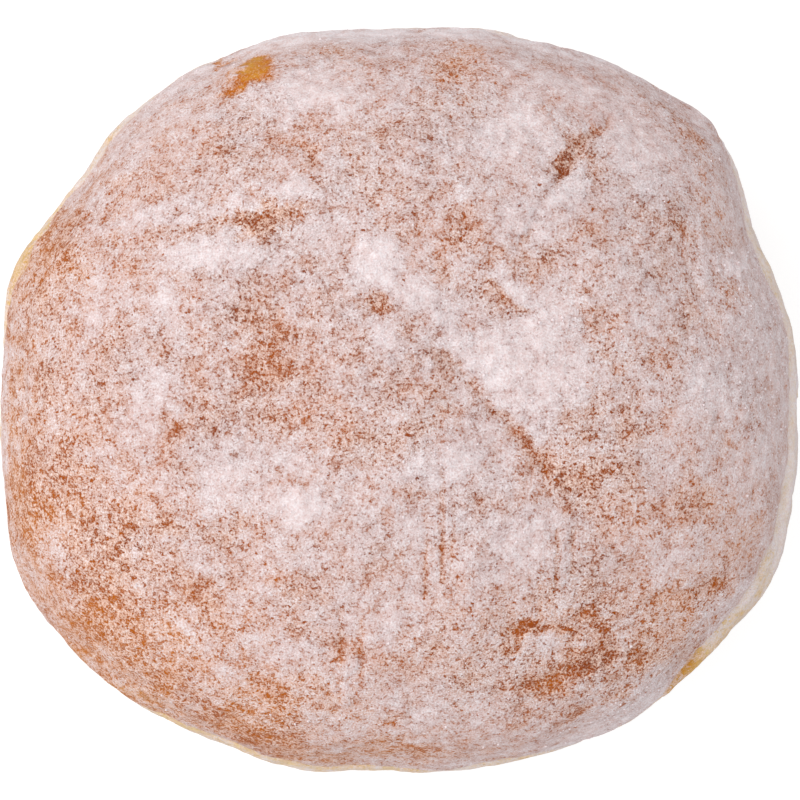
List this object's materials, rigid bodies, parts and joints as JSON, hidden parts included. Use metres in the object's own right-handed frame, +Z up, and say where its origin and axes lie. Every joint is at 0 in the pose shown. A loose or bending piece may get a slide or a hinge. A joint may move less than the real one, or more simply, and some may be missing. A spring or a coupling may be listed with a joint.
{
  "type": "doughnut",
  "caption": "Filled, hole-less fried doughnut with two browned faces, a pale band round its girth and a dusting of powdered sugar.",
  "frame": {"origin": "on the surface it rests on, under the middle of the doughnut's box", "axes": "+X along the longest way across, +Y across it, +Z up from the resting face to the sugared top"},
  "size_m": [0.094, 0.088, 0.048],
  "materials": {
    "sugared_crust": "matt fried crust, reddish brown under a mottled veil of powdered sugar, with a pale cream band round the girth"
  },
  "bodies": {
    "root": {"doughnut": "sugared_crust"}
  },
  "joints": []
}
